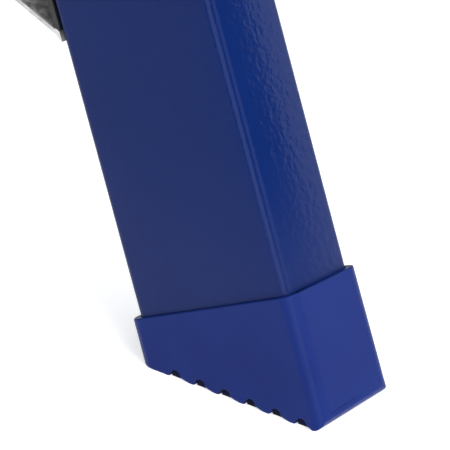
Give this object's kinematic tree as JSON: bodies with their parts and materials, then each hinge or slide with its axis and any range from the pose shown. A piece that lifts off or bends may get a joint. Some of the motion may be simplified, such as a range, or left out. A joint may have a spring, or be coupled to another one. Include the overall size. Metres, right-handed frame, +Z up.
{
  "type": "diving board",
  "caption": "Low springboard on a splayed tube stand with moulded feet, cross braces, steps, handrails, a rear hinge and a geared roller fulcrum moved by a handwheel.",
  "frame": {"origin": "under the middle of the whole board and stand, on the deck", "axes": "+X forward to the board's tip, +Y to the diver's left, +Z up"},
  "size_m": [1.9872, 0.7, 1.229],
  "materials": {
    "blue_coating": "gloss powder coat with a fine orange-peel surface",
    "blue_moulding": "moulded blue plastic",
    "galvanised_sheet": "galvanised, mottled grey",
    "zinc_fasteners": "bright zinc plated",
    "stainless_tube": "polished stainless tube",
    "machined_steel": "machined steel",
    "cast_alloy": "cast aluminium, fettled and satin",
    "black_moulding": "black moulded plastic",
    "nylon": "natural nylon",
    "bronze": "machined bronze",
    "black_rubber": "moulded rubber",
    "board_shell": "gel-coated fibreglass shell",
    "grit_coat": "sand-gritted non-slip coat"
  },
  "bodies": {
    "stand": {"leg_front_right": "blue_coating", "leg_front_left": "blue_coating", "leg_rear_right": "blue_coating", "leg_rear_left": "blue_coating", "foot_front_right": "blue_moulding", "foot_front_left": "blue_moulding", "foot_rear_right": "blue_moulding", "foot_rear_left": "blue_moulding", "side_rail_right": "blue_coating", "side_rail_left": "blue_coating", "rail_end_plugs": "black_moulding", "front_crossbeam": "blue_coating", "hinge_beam": "blue_coating", "front_tie": "blue_coating", "brace_front_right": "galvanised_sheet", "brace_front_left": "galvanised_sheet", "brace_rear_right": "galvanised_sheet", "brace_rear_left": "galvanised_sheet", "brace_rivets": "zinc_fasteners", "brace_cross_bolts": "zinc_fasteners", "brace_cross_spacers": "zinc_fasteners", "lower_step": "galvanised_sheet", "upper_step": "galvanised_sheet", "step_bolts": "zinc_fasteners", "anchor_bracket_right": "galvanised_sheet", "anchor_bracket_left": "galvanised_sheet", "anchor_packings": "galvanised_sheet", "anchor_bolts": "zinc_fasteners", "handrail_right": "stainless_tube", "handrail_left": "stainless_tube", "handrail_plugs": "black_moulding", "handrail_straps": "stainless_tube", "frame_bolts": "zinc_fasteners", "hinge_bracket_right": "galvanised_sheet", "hinge_bracket_left": "galvanised_sheet", "hinge_pins": "machined_steel", "rack_right": "machined_steel", "rack_left": "machined_steel", "rack_screws": "zinc_fasteners"},
    "board": {"board_core": "board_shell", "gritted_top": "grit_coat", "wear_pad": "black_rubber", "board_bolts": "stainless_tube", "hinge_leaf_right": "cast_alloy", "hinge_leaf_left": "cast_alloy", "hinge_bushes": "bronze"},
    "carriage": {"fulcrum_saddle_right": "cast_alloy", "fulcrum_saddle_left": "cast_alloy", "guide_shoes": "nylon", "shaft_bushes": "bronze", "fulcrum_tie_rods": "machined_steel"},
    "shaft": {"fulcrum_shaft": "machined_steel", "pinion_right": "machined_steel", "pinion_left": "machined_steel", "shaft_collars": "machined_steel", "handwheel": "cast_alloy", "handwheel_nut": "zinc_fasteners"},
    "roller": {"roller_core": "machined_steel", "roller_sleeve": "black_rubber", "roller_bushes": "bronze"}
  },
  "joints": [
    {"name": "board_hinge", "type": "hinge", "parent": "stand", "child": "board", "pos_m": [-0.7814, 0, 0.445], "axis": [0, -1, 0], "range_deg": [0, 6]},
    {"name": "fulcrum_slide", "type": "slide", "parent": "stand", "child": "carriage", "axis": [1, 0, 0], "range_m": [-0.12, 0.12]},
    {"name": "wheel_spin", "type": "hinge", "parent": "carriage", "child": "shaft", "pos_m": [-0.1864, 0, 0.429], "axis": [0, 1, 0], "range_deg": [-290, 290]},
    {"name": "roller_spin", "type": "hinge", "parent": "carriage", "child": "roller", "pos_m": [-0.1864, 0, 0.429], "axis": [0, 1, 0], "continuous": true}
  ],
  "couplings": [
    {"joint": "wheel_spin", "follows": "fulcrum_slide", "rad_per_m": 41.667}
  ]
}
